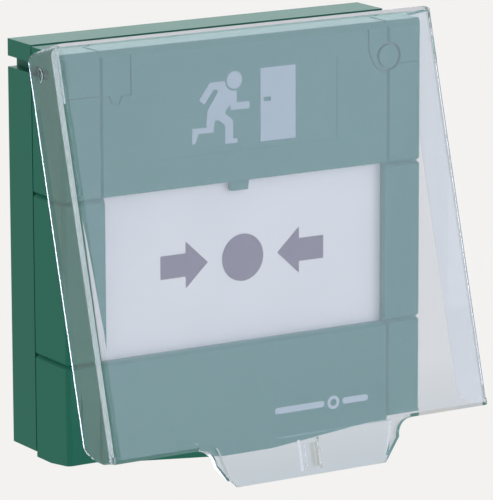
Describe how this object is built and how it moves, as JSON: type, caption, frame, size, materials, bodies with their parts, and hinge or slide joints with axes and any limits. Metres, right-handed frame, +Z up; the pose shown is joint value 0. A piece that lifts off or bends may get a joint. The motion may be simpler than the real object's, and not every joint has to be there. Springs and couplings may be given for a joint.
{
  "type": "manual call point",
  "caption": "Square wall-mounted manual call point: recessed press element with arrow symbols, hinged clear flap with pull tab, internal switch and terminals.",
  "frame": {"origin": "centre of the wall face, midway between the two wall screw holes", "axes": "+X to the right seen from the front, +Y into the wall, +Z up; the front face looks towards -Y"},
  "size_m": [0.0932, 0.0506, 0.0925],
  "materials": {
    "green_plastic": "fine satin moulded surface",
    "dark_rubber": "matt",
    "white_print": "screen print",
    "grey_print": "screen print",
    "white_plastic": "smooth",
    "clear_plastic": "clear polished",
    "dark_plastic": "moulded",
    "red_plastic": "smooth",
    "blue_plastic": "moulded",
    "yellow_plastic": "moulded",
    "board_green": "solder mask",
    "steel": "zinc plated",
    "brass": "bright"
  },
  "bodies": {
    "housing": {"back_box": "green_plastic", "front_housing": "green_plastic", "seam_gasket": "dark_rubber", "cable_grommet": "dark_rubber", "fixing_screw": "steel", "screw_cap": "green_plastic", "label_plate": "green_plastic", "exit_symbol": "white_print", "front_mark": "white_print", "element_clip": "green_plastic", "carrier": "dark_plastic", "carrier_screws": "steel", "return_springs": "steel", "switch_body": "dark_plastic", "switch_terminals": "brass", "switch_leads": "red_plastic", "circuit_board": "board_green", "board_parts": "dark_plastic", "board_screws": "steel", "terminal_block": "blue_plastic", "terminal_screws": "steel"},
    "flap_body": {"flap": "clear_plastic"},
    "press_element": {"element": "white_plastic", "press_symbol": "grey_print"},
    "plunger": {"switch_plunger": "red_plastic"},
    "cam": {"reset_cam": "yellow_plastic"}
  },
  "joints": [
    {"name": "flap_hinge", "type": "hinge", "parent": "housing", "child": "flap_body", "pos_m": [0, -0.0188, 0.0387], "axis": [-1, 0, 0], "range_deg": [-15.5, 75]},
    {"name": "element_press", "type": "slide", "parent": "housing", "child": "press_element", "axis": [0, 1, 0], "range_m": [0, 0.0015], "stiffness_N_per_m": 400, "deforming": ["return_springs"]},
    {"name": "plunger_press", "type": "slide", "parent": "housing", "child": "plunger", "axis": [0, 1, 0], "range_m": [0, 0.0015]},
    {"name": "cam_turn", "type": "hinge", "parent": "housing", "child": "cam", "pos_m": [-0.018, -0.017, -0.035], "axis": [0, 0, 1], "range_deg": [0, 90]}
  ],
  "couplings": [
    {"joint": "plunger_press", "follows": "element_press", "ratio": 1}
  ]
}
